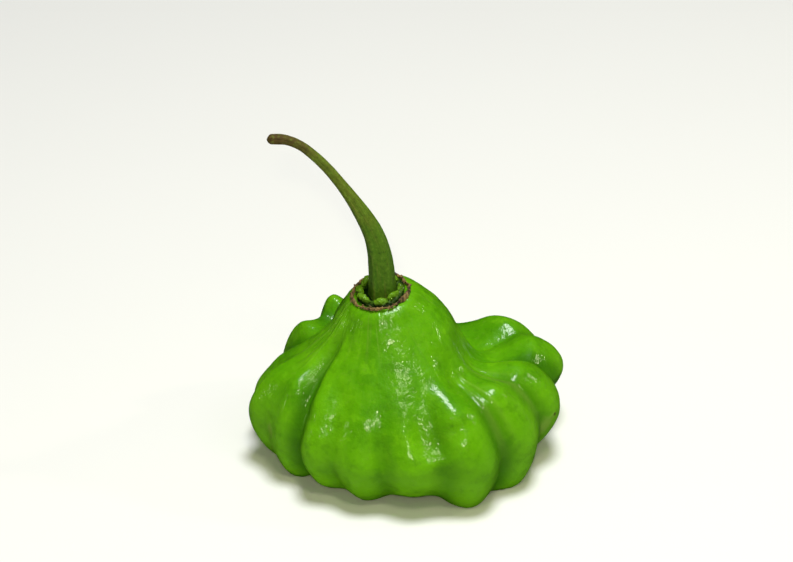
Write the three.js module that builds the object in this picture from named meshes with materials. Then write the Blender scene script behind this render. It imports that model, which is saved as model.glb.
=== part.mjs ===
// A green bonnet chilli pepper, standing on the lobes of its blossom end with the stem up.
// Millimetres, +Z up. The front of the pepper looks along -Y and +X is its right.
// Directions round the pepper are degrees from the front towards +X.
import * as THREE from "three";

// The cone that carries the calyx
const SEAT_HEIGHT = 29.8;
const SEAT_RADIUS = 4.9;
const SHOULDER_RADIUS = 7.3;
const SHOULDER_DROP = 2.1;
const CONE_HEIGHT = 24.4;
// The cone leans to the left and a little to the front, and its top slopes down that way
const LEAN_X = -4.45;
const LEAN_Y = -1.8;
const SLOPE_X = 9;
const SLOPE_Y = 5;
// The height of the blossom scar in the middle of the underside
const SCAR_HEIGHT = 4;
// The middle of the pepper's box, which is moved over the origin
const MIDDLE_X = 0.07;
const MIDDLE_Y = -1.35;

// The lobes, anticlockwise from the front. Each crest has a profile:
//   cone and waist are radii of the upper cone, waistZ and crown are heights,
//   reach is the widest radius, brow is how far inside it the crown lies,
//   hang is the height of the lower edge and tuck is how far that lies inside the widest radius.
// A lobe whose lower edge would hang below the surface stands on it and is flat there.
// The groove on the way to the next lobe is so deep, climbs so far up the cone and is so sharp.
// sway is how many degrees further round the lobe starts on the cone.
const LOBES = [
  { at: 3, cone: 10.4, waist: 15.3, waistZ: 20.0, crown: 14.2, brow: 3.2, reach: 24.1, hang: 1.1,
    tuck: 5.5, deep: 1.8, climb: 0.3, sharp: 0.3, sway: 0 },
  { at: 28, cone: 10.4, waist: 15.2, waistZ: 20.5, crown: 16.6, brow: 3.6, reach: 25.8, hang: -1.3,
    tuck: 4.5, deep: 1.9, climb: 0.4, sharp: 0.6, sway: 0 },
  { at: 53, cone: 10.6, waist: 14.2, waistZ: 18.9, crown: 18.0, brow: 4.2, reach: 25.3, hang: -1.0,
    tuck: 3.4, deep: 1.6, climb: 0.5, sharp: 0.6, sway: 0 },
  { at: 78, cone: 10.2, waist: 12.8, waistZ: 17.5, crown: 17.5, brow: 4.6, reach: 26.1, hang: 2.2,
    tuck: 4.4, deep: 2.4, climb: 0.5, sharp: 0.8, sway: 0 },
  { at: 106, cone: 9.6, waist: 14.0, waistZ: 14.5, crown: 16.2, brow: 4.6, reach: 27.8, hang: 4.2,
    tuck: 6.4, deep: 1.4, climb: 0.4, sharp: 0.6, sway: 0 },
  { at: 124, cone: 9.0, waist: 13.5, waistZ: 13.4, crown: 16.0, brow: 4.6, reach: 26.9, hang: 0.8,
    tuck: 5.2, deep: 2.2, climb: 0.4, sharp: 0.5, sway: 0 },
  { at: 168, cone: 9.6, waist: 11.7, waistZ: 15.0, crown: 13.2, brow: 4.4, reach: 20.8, hang: -0.6,
    tuck: 5.0, deep: 2.0, climb: 0.7, sharp: 0.4, sway: 0 },
  { at: 192, cone: 9.6, waist: 12.2, waistZ: 17.0, crown: 16.4, brow: 4.6, reach: 22.0, hang: 0.4,
    tuck: 5.0, deep: 2.2, climb: 0.6, sharp: 0.4, sway: 0 },
  { at: 217, cone: 9.8, waist: 12.2, waistZ: 17.8, crown: 20.0, brow: 4.6, reach: 22.7, hang: 0.5,
    tuck: 5.1, deep: 2.4, climb: 0.7, sharp: 0.5, sway: 0 },
  { at: 244, cone: 9.8, waist: 13.1, waistZ: 18.9, crown: 18.2, brow: 4.6, reach: 23.2, hang: -0.8,
    tuck: 4.8, deep: 2.0, climb: 0.8, sharp: 0.5, sway: 0 },
  { at: 268, cone: 9.9, waist: 14.3, waistZ: 20.4, crown: 14.8, brow: 4.6, reach: 26.0, hang: 0.4,
    tuck: 4.5, deep: 1.4, climb: 0.3, sharp: 0.5, sway: 0 },
  { at: 284, cone: 10.1, waist: 15.0, waistZ: 20.2, crown: 16.5, brow: 4.6, reach: 27.2, hang: -0.4,
    tuck: 5.5, deep: 0.6, climb: 0.2, sharp: 0.3, sway: -2 },
  { at: 300, cone: 10.8, waist: 15.6, waistZ: 20.6, crown: 17.0, brow: 4.4, reach: 25.2, hang: -0.3,
    tuck: 3.4, deep: 2.0, climb: 1.0, sharp: 0.4, sway: -6 },
  { at: 319, cone: 10.8, waist: 15.6, waistZ: 20.3, crown: 15.4, brow: 3.8, reach: 25.0, hang: 0.8,
    tuck: 4.6, deep: 1.1, climb: 0.2, sharp: 0.3, sway: -6 },
  { at: 338, cone: 10.5, waist: 15.3, waistZ: 20.0, crown: 14.4, brow: 3.4, reach: 24.1, hang: -0.4,
    tuck: 5.2, deep: 1.2, climb: 0.2, sharp: 0.3, sway: -2 },
];

// Calyx and stem, in heights above the seat
const GAP = 0.3;
const RIM_RADIUS = 4.7;
const RIM_WIDTH = 0.7;
const RIM_HEIGHT = 0.9;
const COLLAR_OUTER = 3.95;
const COLLAR_INNER = 2.95;
const COLLAR_HEIGHT = 1.6;
const COLLAR_FOLDS = 8;
const STEM_FLUTES = 5;
// The stem's centre line above the seat: out, back and up, with the radius at each point
const STEM_LINE = [
  { x: 0.3, y: 0.0, z: 0.0, r: 2.25 },
  { x: 0.2, y: 0.0, z: 2.6, r: 2.12 },
  { x: 0.05, y: 0.1, z: 5.2, r: 2.02 },
  { x: -0.35, y: 0.3, z: 8.1, r: 1.82 },
  { x: -1.25, y: 0.65, z: 11.1, r: 1.6 },
  { x: -2.7, y: 1.15, z: 13.9, r: 1.36 },
  { x: -4.45, y: 1.75, z: 16.6, r: 1.08 },
  { x: -6.5, y: 2.3, z: 19.4, r: 0.88 },
  { x: -8.6, y: 2.9, z: 21.9, r: 0.82 },
  { x: -10.6, y: 3.4, z: 23.8, r: 0.79 },
  { x: -12.8, y: 3.9, z: 25.4, r: 0.76 },
  { x: -15.1, y: 4.3, z: 26.2, r: 0.78 },
  { x: -17.8, y: 4.65, z: 26.15, r: 0.76 },
];

// Fineness
const COLUMNS_PER_LOBE = 8;
const FRUIT_ROWS = 41;
const STEM_SIDES = 20;
const STEM_RINGS = 34;

const radians = THREE.MathUtils.degToRad;
const smooth = (x) => THREE.MathUtils.smoothstep(x, 0, 1);

// The direction square to the sloping seat
const SEAT_UP = new THREE.Vector3(-Math.tan(radians(SLOPE_X)), -Math.tan(radians(SLOPE_Y)), 1).normalize();

// Builds one closed body from rings of points, capped with a point at either end.
function loft(first, rings, last) {
  const points = [first, ...rings.flat(), last];
  const sides = rings[0].length;
  const index = [];
  const at = (ring, side) => 1 + ring * sides + (side % sides);
  for (let s = 0; s < sides; s++) {
    index.push(0, at(0, s), at(0, s + 1));
    for (let k = 0; k < rings.length - 1; k++) {
      index.push(at(k, s), at(k + 1, s), at(k + 1, s + 1));
      index.push(at(k, s), at(k + 1, s + 1), at(k, s + 1));
    }
    index.push(at(rings.length - 1, s + 1), at(rings.length - 1, s), points.length - 1);
  }
  return new THREE.BufferGeometry().setFromPoints(points).setIndex(index);
}

// Builds one closed ring from sections, each a loop of points, joined back to the first.
function hoop(sections) {
  const points = sections.flat();
  const sides = sections[0].length;
  const index = [];
  const at = (k, s) => (k % sections.length) * sides + (s % sides);
  for (let k = 0; k < sections.length; k++) {
    for (let s = 0; s < sides; s++) {
      index.push(at(k, s), at(k + 1, s), at(k + 1, s + 1));
      index.push(at(k, s), at(k + 1, s + 1), at(k, s + 1));
    }
  }
  return new THREE.BufferGeometry().setFromPoints(points).setIndex(index);
}

// The profile of the fruit in one direction, from the seat to the blossom scar.
function profileOf(lobe, next, share) {
  const mix = (key) => THREE.MathUtils.lerp(lobe[key], next[key], smooth(share));
  const reach = mix("reach");
  const crown = mix("crown");
  const hang = mix("hang");
  return new THREE.SplineCurve([
    new THREE.Vector2(0, SEAT_HEIGHT),
    new THREE.Vector2(SEAT_RADIUS, SEAT_HEIGHT),
    new THREE.Vector2(SHOULDER_RADIUS, SEAT_HEIGHT - SHOULDER_DROP),
    new THREE.Vector2(mix("cone"), CONE_HEIGHT),
    new THREE.Vector2(mix("waist"), mix("waistZ")),
    new THREE.Vector2(reach - mix("brow"), crown),
    new THREE.Vector2(reach, hang + (crown - hang) * 0.52),
    new THREE.Vector2(reach - mix("tuck"), hang),
    new THREE.Vector2(reach * 0.5, hang * 0.5 + 2),
    new THREE.Vector2(0, SCAR_HEIGHT),
  ]);
}

// A point of the fruit's skin: the profile pushed in along its normal by the groove,
// then leaned and sloped towards the top, and cut flat where a lobe stands on the surface.
function skin({ direction, profile, lobe, sway, share }, u) {
  const here = profile.getPoint(u);
  const tangent = profile.getTangent(u);
  const rise = smooth((u - 0.46 + 0.34 * lobe.climb) / 0.3);
  const fall = 1 - smooth((u - 0.68) / 0.28);
  const power = 2 - 1.2 * lobe.sharp * smooth((u - 0.25) / 0.3);
  const side = 1 - Math.abs(2 * share - 1);
  const arch = Math.cos((Math.PI / 2) * Math.min(side, 0.9999)) ** power;
  const inward = THREE.MathUtils.clamp(here.x / 19, 0, 1);
  const push = lobe.deep * (1 - arch) * rise * fall * inward;
  const r = Math.max(here.x + push * tangent.y, 0);
  const z = here.y - push * tangent.x;
  const turned = direction + sway * (1 - smooth((u - 0.36) / 0.26));
  const x = r * Math.sin(radians(turned));
  const y = -r * Math.cos(radians(turned));
  const lean = THREE.MathUtils.clamp((z - 8) / (SEAT_HEIGHT - 8), 0, 1) ** 1.3;
  const slope = smooth((z - 16) / (SEAT_HEIGHT - 16));
  const lift = x * Math.tan(radians(SLOPE_X)) + y * Math.tan(radians(SLOPE_Y));
  return new THREE.Vector3(x + LEAN_X * lean, y + LEAN_Y * lean, Math.max(z + slope * lift, 0));
}

// The lobed body of the pepper, one closed skin.
function fruitGeometry() {
  const columns = [];
  LOBES.forEach((lobe, i) => {
    const next = LOBES[(i + 1) % LOBES.length];
    const span = (next.at - lobe.at + 360) % 360;
    for (let k = 0; k < COLUMNS_PER_LOBE; k++) {
      const share = k / COLUMNS_PER_LOBE;
      const direction = lobe.at + span * share;
      const sway = THREE.MathUtils.lerp(lobe.sway, next.sway, smooth(share));
      columns.push({ lobe, share, direction, sway, profile: profileOf(lobe, next, share) });
    }
  });
  const rings = [];
  for (let k = 0; k <= FRUIT_ROWS; k++) {
    const u = 1 / 9 + (0.86 * k) / FRUIT_ROWS;
    rings.push(columns.map((column) => skin(column, u)));
  }
  return loft(skin(columns[0], 0), rings, skin(columns[0], 1));
}

// The corky rim round the calyx: a ring of uneven width and height.
function rimGeometry() {
  const sections = [];
  const steps = 48;
  for (let k = 0; k < steps; k++) {
    const a = (k / steps) * 2 * Math.PI;
    const radius = RIM_RADIUS + 0.1 * Math.sin(3 * a + 0.6) + 0.07 * Math.sin(7 * a + 2.1);
    const height = RIM_HEIGHT + 0.16 * Math.sin(5 * a + 1.3) + 0.1 * Math.sin(11 * a);
    const section = [];
    for (let s = 0; s < 8; s++) {
      const t = (s / 8) * 2 * Math.PI;
      const out = radius + (RIM_WIDTH / 2) * Math.cos(t);
      const up = GAP + (height / 2) * (1 + Math.sin(t));
      section.push(new THREE.Vector3(out * Math.cos(a), out * Math.sin(a), up));
    }
    sections.push(section);
  }
  return hoop(sections);
}

// The crumpled green collar between the rim and the stem: a ring gathered into folds.
function collarGeometry() {
  const sections = [];
  const steps = 72;
  for (let k = 0; k < steps; k++) {
    const a = (k / steps) * 2 * Math.PI;
    const fold = Math.cos(COLLAR_FOLDS * a + 0.5 * Math.sin(2 * a));
    const outer = COLLAR_OUTER - 0.12 + 0.12 * fold;
    const height = COLLAR_HEIGHT + 0.3 * fold + 0.2 * Math.sin(3 * a + 0.8);
    const section = [
      [COLLAR_INNER, GAP],
      [outer, GAP],
      [outer, GAP + height * 0.35],
      [outer - 0.2, GAP + height * 0.62],
      [COLLAR_INNER + 0.32, height * 0.98],
      [COLLAR_INNER, height * 0.85],
    ];
    sections.push(section.map(([r, z]) => new THREE.Vector3(r * Math.cos(a), r * Math.sin(a), z)));
  }
  return hoop(sections);
}

// The stem: fluted near its base, thinning as it bends over, with a swollen dry end.
function stemGeometry() {
  const line = new THREE.CatmullRomCurve3(
    STEM_LINE.map((p) => new THREE.Vector3(p.x, p.y, p.z + GAP)),
    false,
    "centripetal",
  );
  const rings = [];
  const back = new THREE.Vector3(0, 1, 0);
  for (let k = 0; k <= STEM_RINGS; k++) {
    const t = k / STEM_RINGS;
    const place = t * (STEM_LINE.length - 1);
    const low = Math.min(Math.floor(place), STEM_LINE.length - 2);
    const thick = THREE.MathUtils.lerp(STEM_LINE[low].r, STEM_LINE[low + 1].r, place - low);
    const knob = 0.08 * smooth((t - 0.9) / 0.06) * Math.sqrt(Math.max(0, 1 - ((t - 0.93) / 0.09) ** 2));
    const along = k === 0 ? SEAT_UP : line.getTangent(t);
    const wide = new THREE.Vector3().crossVectors(back, along).normalize();
    const deep = new THREE.Vector3().crossVectors(along, wide);
    const centre = line.getPoint(t);
    const ring = [];
    for (let s = 0; s < STEM_SIDES; s++) {
      const a = (s / STEM_SIDES) * 2 * Math.PI;
      const flute = 1 + 0.05 * Math.cos(STEM_FLUTES * a + 0.4) * (1 - 0.5 * t);
      const r = (thick * (t === 1 ? 0.8 : 1) + knob) * flute;
      ring.push(
        centre.clone().addScaledVector(wide, r * Math.cos(a)).addScaledVector(deep, r * Math.sin(a)),
      );
    }
    rings.push(ring);
  }
  const foot = line.getPoint(0);
  const tip = line.getPoint(1).addScaledVector(line.getTangent(1), 0.35);
  return loft(tip, rings.reverse(), foot);
}

function piece(name, geometry, colour, roughness) {
  geometry.computeVertexNormals();
  const mesh = new THREE.Mesh(geometry, new THREE.MeshStandardMaterial({ color: colour, roughness }));
  mesh.name = name;
  return mesh;
}

const fruit = piece("fruit", fruitGeometry(), 0x4f9a14, 0.3);
const rim = piece("calyx_rim", rimGeometry(), 0x6b4a26, 0.9);
const collar = piece("calyx_collar", collarGeometry(), 0x3f7a1c, 0.6);
const stem = piece("stem", stemGeometry(), 0x5f7030, 0.7);

// The calyx lies square on the sloping seat, and the stem rises from it.
const calyx = new THREE.Group();
calyx.position.set(LEAN_X, LEAN_Y, SEAT_HEIGHT);
calyx.quaternion.setFromUnitVectors(new THREE.Vector3(0, 0, 1), SEAT_UP);
calyx.add(rim, collar);
stem.position.copy(calyx.position);

// The pepper is moved sideways so that its box is centred over the origin.
const whole = new THREE.Group();
whole.add(fruit, calyx, stem);
whole.position.set(-MIDDLE_X, -MIDDLE_Y, 0);

const pepper = new THREE.Group();
pepper.name = "chilli_pepper";
pepper.add(whole);

export default pepper;
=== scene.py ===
"""A green bonnet chilli pepper standing on the lobes of its blossom end, with its calyx and stem."""

import math

import bpy
import numpy as np
from bpy.props import FloatProperty, FloatVectorProperty, IntProperty, PointerProperty
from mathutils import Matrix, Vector


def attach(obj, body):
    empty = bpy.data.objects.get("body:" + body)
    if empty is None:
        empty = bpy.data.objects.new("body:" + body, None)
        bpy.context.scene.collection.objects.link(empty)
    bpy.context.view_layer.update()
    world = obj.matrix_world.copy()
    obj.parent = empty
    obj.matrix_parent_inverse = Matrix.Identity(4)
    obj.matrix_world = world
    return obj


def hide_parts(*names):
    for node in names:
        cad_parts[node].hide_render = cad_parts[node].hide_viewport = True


bl_info = {
    "name": "Bonnet chilli pepper",
    "version": (1, 0, 0),
    "blender": (4, 5, 0),
    "location": "View3D > Sidebar > Pepper",
    "description": "Builds a green bonnet chilli pepper with its calyx, stem and a small studio",
    "category": "Object",
}

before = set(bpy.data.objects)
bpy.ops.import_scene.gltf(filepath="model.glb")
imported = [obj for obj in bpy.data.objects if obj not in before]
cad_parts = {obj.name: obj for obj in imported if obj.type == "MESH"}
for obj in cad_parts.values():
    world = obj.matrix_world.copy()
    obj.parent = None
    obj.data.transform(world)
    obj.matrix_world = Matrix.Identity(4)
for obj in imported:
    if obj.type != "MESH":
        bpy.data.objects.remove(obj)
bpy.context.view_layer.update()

MM = 0.001
# The middle of the pepper's box, in the millimetres that the lobes and the stem are drawn in
MIDDLE = (0.07, -1.35)

# The lobes, anticlockwise from the front. at is the direction of the crest in degrees. cone and
# waist are radii of the upper cone, waist_z and crown are heights, brow is how far the crown lies
# inside the widest radius, reach, and tuck is the same for the lower edge, at the height hang.
# The groove on the way to the next lobe is so deep, climbs so far up the cone and is so sharp.
# sway is how many degrees further round the lobe starts on the cone.
LOBES = [
    dict(at=3, cone=10.4, waist=15.3, waist_z=20.0, crown=14.2, brow=3.2, reach=24.1, hang=1.1, tuck=5.5,
         deep=1.8, climb=0.3, sharp=0.3, sway=0),
    dict(at=28, cone=10.4, waist=15.2, waist_z=20.5, crown=16.6, brow=3.6, reach=25.8, hang=-1.3, tuck=4.5,
         deep=1.9, climb=0.4, sharp=0.6, sway=0),
    dict(at=53, cone=10.6, waist=14.2, waist_z=18.9, crown=18.0, brow=4.2, reach=25.3, hang=-1.0, tuck=3.4,
         deep=1.6, climb=0.5, sharp=0.6, sway=0),
    dict(at=78, cone=10.2, waist=12.8, waist_z=17.5, crown=17.5, brow=4.6, reach=26.1, hang=2.2, tuck=4.4,
         deep=2.4, climb=0.5, sharp=0.8, sway=0),
    dict(at=106, cone=9.6, waist=14.0, waist_z=14.5, crown=16.2, brow=4.6, reach=27.8, hang=4.2, tuck=6.4,
         deep=1.4, climb=0.4, sharp=0.6, sway=0),
    dict(at=124, cone=9.0, waist=13.5, waist_z=13.4, crown=16.0, brow=4.6, reach=26.9, hang=0.8, tuck=5.2,
         deep=2.2, climb=0.4, sharp=0.5, sway=0),
    dict(at=168, cone=9.6, waist=11.7, waist_z=15.0, crown=13.2, brow=4.4, reach=20.8, hang=-0.6, tuck=5.0,
         deep=2.0, climb=0.7, sharp=0.4, sway=0),
    dict(at=192, cone=9.6, waist=12.2, waist_z=17.0, crown=16.4, brow=4.6, reach=22.0, hang=0.4, tuck=5.0,
         deep=2.2, climb=0.6, sharp=0.4, sway=0),
    dict(at=217, cone=9.8, waist=12.2, waist_z=17.8, crown=20.0, brow=4.6, reach=22.7, hang=0.5, tuck=5.1,
         deep=2.4, climb=0.7, sharp=0.5, sway=0),
    dict(at=244, cone=9.8, waist=13.1, waist_z=18.9, crown=18.2, brow=4.6, reach=23.2, hang=-0.8, tuck=4.8,
         deep=2.0, climb=0.8, sharp=0.5, sway=0),
    dict(at=268, cone=9.9, waist=14.3, waist_z=20.4, crown=14.8, brow=4.6, reach=26.0, hang=0.4, tuck=4.5,
         deep=1.4, climb=0.3, sharp=0.5, sway=0),
    dict(at=284, cone=10.1, waist=15.0, waist_z=20.2, crown=16.5, brow=4.6, reach=27.2, hang=-0.4, tuck=5.5,
         deep=0.6, climb=0.2, sharp=0.3, sway=-2),
    dict(at=300, cone=10.8, waist=15.6, waist_z=20.6, crown=17.0, brow=4.4, reach=25.2, hang=-0.3, tuck=3.4,
         deep=2.0, climb=1.0, sharp=0.4, sway=-6),
    dict(at=319, cone=10.8, waist=15.6, waist_z=20.3, crown=15.4, brow=3.8, reach=25.0, hang=0.8, tuck=4.6,
         deep=1.1, climb=0.2, sharp=0.3, sway=-6),
    dict(at=338, cone=10.5, waist=15.3, waist_z=20.0, crown=14.4, brow=3.4, reach=24.1, hang=-0.4, tuck=5.2,
         deep=1.2, climb=0.2, sharp=0.3, sway=-2),
]

# Shallow hollows and swellings of the skin: the direction in degrees, the share of the way down,
# the spread in degrees and in the share, and the depth in millimetres, below 0 for a swelling
HOLLOWS = [
    (24, 0.56, 5, 0.022, 0.7),
    (7.5, 0.555, 3, 0.05, 0.4),
    (15, 0.615, 8, 0.03, -0.9),
    (16, 0.69, 6, 0.06, -1.1),
    (350, 0.60, 4, 0.05, 0.35),
    (331, 0.50, 5, 0.05, 0.4),
    (40, 0.44, 6, 0.03, 0.35),
    (65, 0.50, 5, 0.03, 0.3),
    (304, 0.37, 6, 0.09, 0.8),
    (320, 0.30, 6, 0.08, 0.4),
]

# Fine wrinkles that run down the skin: the directions and the shares of the way down between
# which they lie, how many degrees they are apart and their height in millimetres
WRINKLES = [
    (268, 314, 0.12, 0.52, 5.2, 0.19),
    (34, 76, 0.40, 0.70, 7.0, 0.26),
    (322, 342, 0.14, 0.34, 5.0, 0.10),
]

# Small dry scars: the direction, the share of the way down, the spread in both and how dark it is
SCARS = [
    (68, 0.68, 4, 0.035, 0.1),
    (73, 0.67, 0.9, 0.006, 1.0),
    (296, 0.66, 2.5, 0.02, 0.1),
]

# The grooves between the lobes, in shares of the way down the skin: where they start and how much
# higher one that climbs does, over how much they deepen, where they fade and over how much, and
# where one that is sharp starts to narrow and over how much
GROOVE_START, GROOVE_CLIMB, GROOVE_GROWTH = 0.46, 0.34, 0.3
GROOVE_END, GROOVE_FADE = 0.68, 0.28
SHARP_START, SHARP_GROWTH = 0.25, 0.3
# The radius, in millimetres, from which a groove has its full depth
GROOVE_RADIUS = 19
# Where the lobes that start further round come back to their own direction, and over how much
SWAY_START, SWAY_FADE = 0.36, 0.26
# The heights, in millimetres, from which the cone leans and its top slopes, and how the lean grows
LEAN_START, SLOPE_START, LEAN_POWER = 8, 16, 1.3
# The part of the back where the tops of the grooves are rounded off: its first and last value and
# over how much it fades in at each, in degrees and in shares of the way down
ROUNDED_SIDES = (132, 264, 16, 14)
ROUNDED_SHARES = (0.40, 0.68, 0.08, 0.09)

# The stem's centre line above the seat, in millimetres: to the right, back and up, with its radius
STEM_LINE = [
    (0.3, 0.0, 0.0, 2.25),
    (0.2, 0.0, 2.6, 2.12),
    (0.05, 0.1, 5.2, 2.02),
    (-0.35, 0.3, 8.1, 1.82),
    (-1.25, 0.65, 11.1, 1.6),
    (-2.7, 1.15, 13.9, 1.36),
    (-4.45, 1.75, 16.6, 1.08),
    (-6.5, 2.3, 19.4, 0.88),
    (-8.6, 2.9, 21.9, 0.82),
    (-10.6, 3.4, 23.8, 0.79),
    (-12.8, 3.9, 25.4, 0.76),
    (-15.1, 4.3, 26.2, 0.78),
    (-17.8, 4.65, 26.15, 0.76),
]
# The rounded end past the last of them: how far on, in millimetres, and the share of its radius
STEM_END = [(0.14, 0.6), (0.26, 0.38), (0.33, 0.16), (0.35, 0.03)]

# The lights: the side that they come from and their height, in degrees, how far off and how wide
# they are, in metres, their power in watts and their tint
WARM, COOL = (1.0, 0.98, 0.62), (0.98, 0.99, 1.0)
LIGHTS = {
    "front_light": (-1, 36, 0.5, 0.03, 0.60, WARM),
    "upper_light": (10, 63, 0.5, 0.09, 0.42, WARM),
    "right_light": (97, 31, 0.5, 0.03, 0.26, WARM),
    "left_light": (-75, 12, 0.5, 0.03, 0.09, WARM),
    "overhead_light": (80, 86, 0.7, 0.24, 4.9, COOL),
}


def length(name, value, words):
    """A size in metres."""
    return FloatProperty(name=name, default=value, unit="LENGTH", precision=5, description=words)


def colour(name, value, words):
    """A colour of a finish."""
    return FloatVectorProperty(name=name, subtype="COLOR", size=3, min=0, max=1, default=value,
                               description=words)


class FruitSizes(bpy.types.PropertyGroup):
    """Sizes of the fruit's skin."""

    seat: length("Seat height", 29.8 * MM, "Height of the cone's top, where the calyx sits")
    seat_radius: length("Seat radius", 4.9 * MM, "Radius of the flat top of the cone")
    shoulder: length("Shoulder radius", 7.3 * MM, "Radius of the shoulder below the seat")
    shoulder_drop: length("Shoulder drop", 2.1 * MM, "How far the shoulder lies below the seat")
    cone_height: length("Cone height", 24.4 * MM, "Height of the ring where the cone radii are taken")
    scar: length("Scar height", 4.0 * MM, "Height of the blossom scar in the middle of the underside")
    lean: FloatVectorProperty(name="Lean", size=2, default=(-4.45 * MM, -1.8 * MM), unit="LENGTH",
                              description="How far the top of the cone leans to the right and back")
    slope: FloatVectorProperty(name="Slope", size=2, default=(math.radians(9), math.radians(5)),
                               unit="ROTATION",
                               description="How the top of the cone rises to the right and to the back")
    columns: IntProperty(name="Columns", default=26, min=6, max=30,
                         description="Columns of faces in each lobe")
    rows: IntProperty(name="Rows", default=196, min=40, max=220,
                      description="Rows of faces from the seat to the scar")
    relief: length("Relief depth", 0.50 * MM, "Depth of the low, uneven lumps of the skin")
    grain: FloatProperty(name="Relief scale", default=165.0, description="How many lumps fit in a metre")
    rounding: IntProperty(name="Rounding", default=28, min=0,
                          description="Times the groove tops at the back are smoothed")
    wrinkles: FloatProperty(name="Wrinkles", default=1.0,
                            description="Share of the full height of the fine wrinkles")
    seed: IntProperty(name="Seed", default=7, description="Seed of the uneven lumps")


class CalyxSizes(bpy.types.PropertyGroup):
    """Sizes of the calyx."""

    rim_radius: length("Rim radius", 4.7 * MM, "Radius of the middle of the corky rim")
    rim_width: length("Rim width", 0.42 * MM, "Width of the corky rim")
    rim_height: length("Rim height", 0.80 * MM, "Height of the corky rim")
    flakes: IntProperty(name="Flakes", default=110, description="Loose flakes of cork along the rim")
    flake_size: length("Flake size", 0.19 * MM, "Length of one flake of cork")
    collar_radius: length("Collar radius", 3.35 * MM, "Radius of the ring of green folds")
    folds: IntProperty(name="Folds", default=8, description="Folds of the green collar")
    fold_size: length("Fold size", 0.85 * MM, "Size of one fold of the collar")
    seed: IntProperty(name="Seed", default=3, description="Seed of the flakes and folds")


class StemSizes(bpy.types.PropertyGroup):
    """Sizes of the stem that are not in its centre line."""

    flutes: IntProperty(name="Flutes", default=5, description="Shallow flutes along the stem")
    flute_depth: FloatProperty(name="Flute depth", default=0.07, subtype="FACTOR", min=0, max=0.3,
                               description="Depth of a flute as a share of the radius")
    foot: length("Foot flare", 0.12 * MM, "How much wider the stem is where it meets the calyx")
    roughness: length("Unevenness", 0.10 * MM, "Depth of the stem's uneven surface")
    seed: IntProperty(name="Seed", default=5, description="Seed of the unevenness")


class SkinColours(bpy.types.PropertyGroup):
    """Colours of the pepper."""

    crest: colour("Crest", (0.106, 0.335, 0.0020), "Yellow-green of the lobes' crests")
    # The lower lobes' yellower green, partly painted light that brightens them; also the random pale blotches
    pale_hem_and_painted_light: colour("Hem", (0.168, 0.460, 0.0047), "Lighter green of the lower parts of the lobes")
    body: colour("Body", (0.070, 0.262, 0.0014), "Green of most of the skin")
    # Deep green: painted shade in the grooves, and also the skin's random dark blotches and grain and the
    # stem's dark streaks
    groove: colour("Groove", (0.024, 0.118, 0.0010), "Deep green in the grooves")
    pale: colour("Pale streaks", (0.200, 0.350, 0.040), "Pale streaks near the calyx and small scars")
    cork: colour("Cork", (0.270, 0.170, 0.055), "Tan of the corky rim")
    cork_dark: colour("Dark cork", (0.032, 0.014, 0.006), "Brown in the cracks of the rim")
    leaf: colour("Collar", (0.110, 0.250, 0.006), "Green of the collar's folds")
    # Painted shade between the collar's folds and in the well of the seat; the stem's dark specks use it too
    dark_speck_and_shade: colour("Dark collar", (0.006, 0.020, 0.003), "Dark green between the folds")
    stem_green: colour("Stem green", (0.068, 0.158, 0.006), "Green of the lower stem")
    stem_olive: colour("Stem olive", (0.100, 0.140, 0.010), "Olive of the middle of the stem")
    stem_brown: colour("Stem brown", (0.075, 0.046, 0.012), "Brown of the dry end of the stem")


class StudioSettings(bpy.types.PropertyGroup):
    """The camera, lights and floor."""

    floor: colour("Floor", (0.80, 0.80, 0.80), "Colour of the surface under the pepper")
    room: FloatProperty(name="Room light", default=0.09, description="Strength of the light from all round")
    elevation: FloatProperty(name="Camera elevation", default=math.radians(32), unit="ROTATION",
                             description="Height of the camera over the surface, as an angle")
    distance: length("Camera distance", 0.40, "From the camera to the point that it looks at")
    lens: FloatProperty(name="Lens", default=110.8, description="Focal length in millimetres")
    aim: FloatVectorProperty(name="Aim", size=3, default=(-1.9 * MM, 0, 31.1 * MM), unit="LENGTH",
                             description="The point that the camera looks at, in the pepper's drawing")


GROUPS = {
    "pepper_fruit": FruitSizes,
    "pepper_calyx": CalyxSizes,
    "pepper_stem": StemSizes,
    "pepper_skin": SkinColours,
    "pepper_studio": StudioSettings,
}


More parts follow.
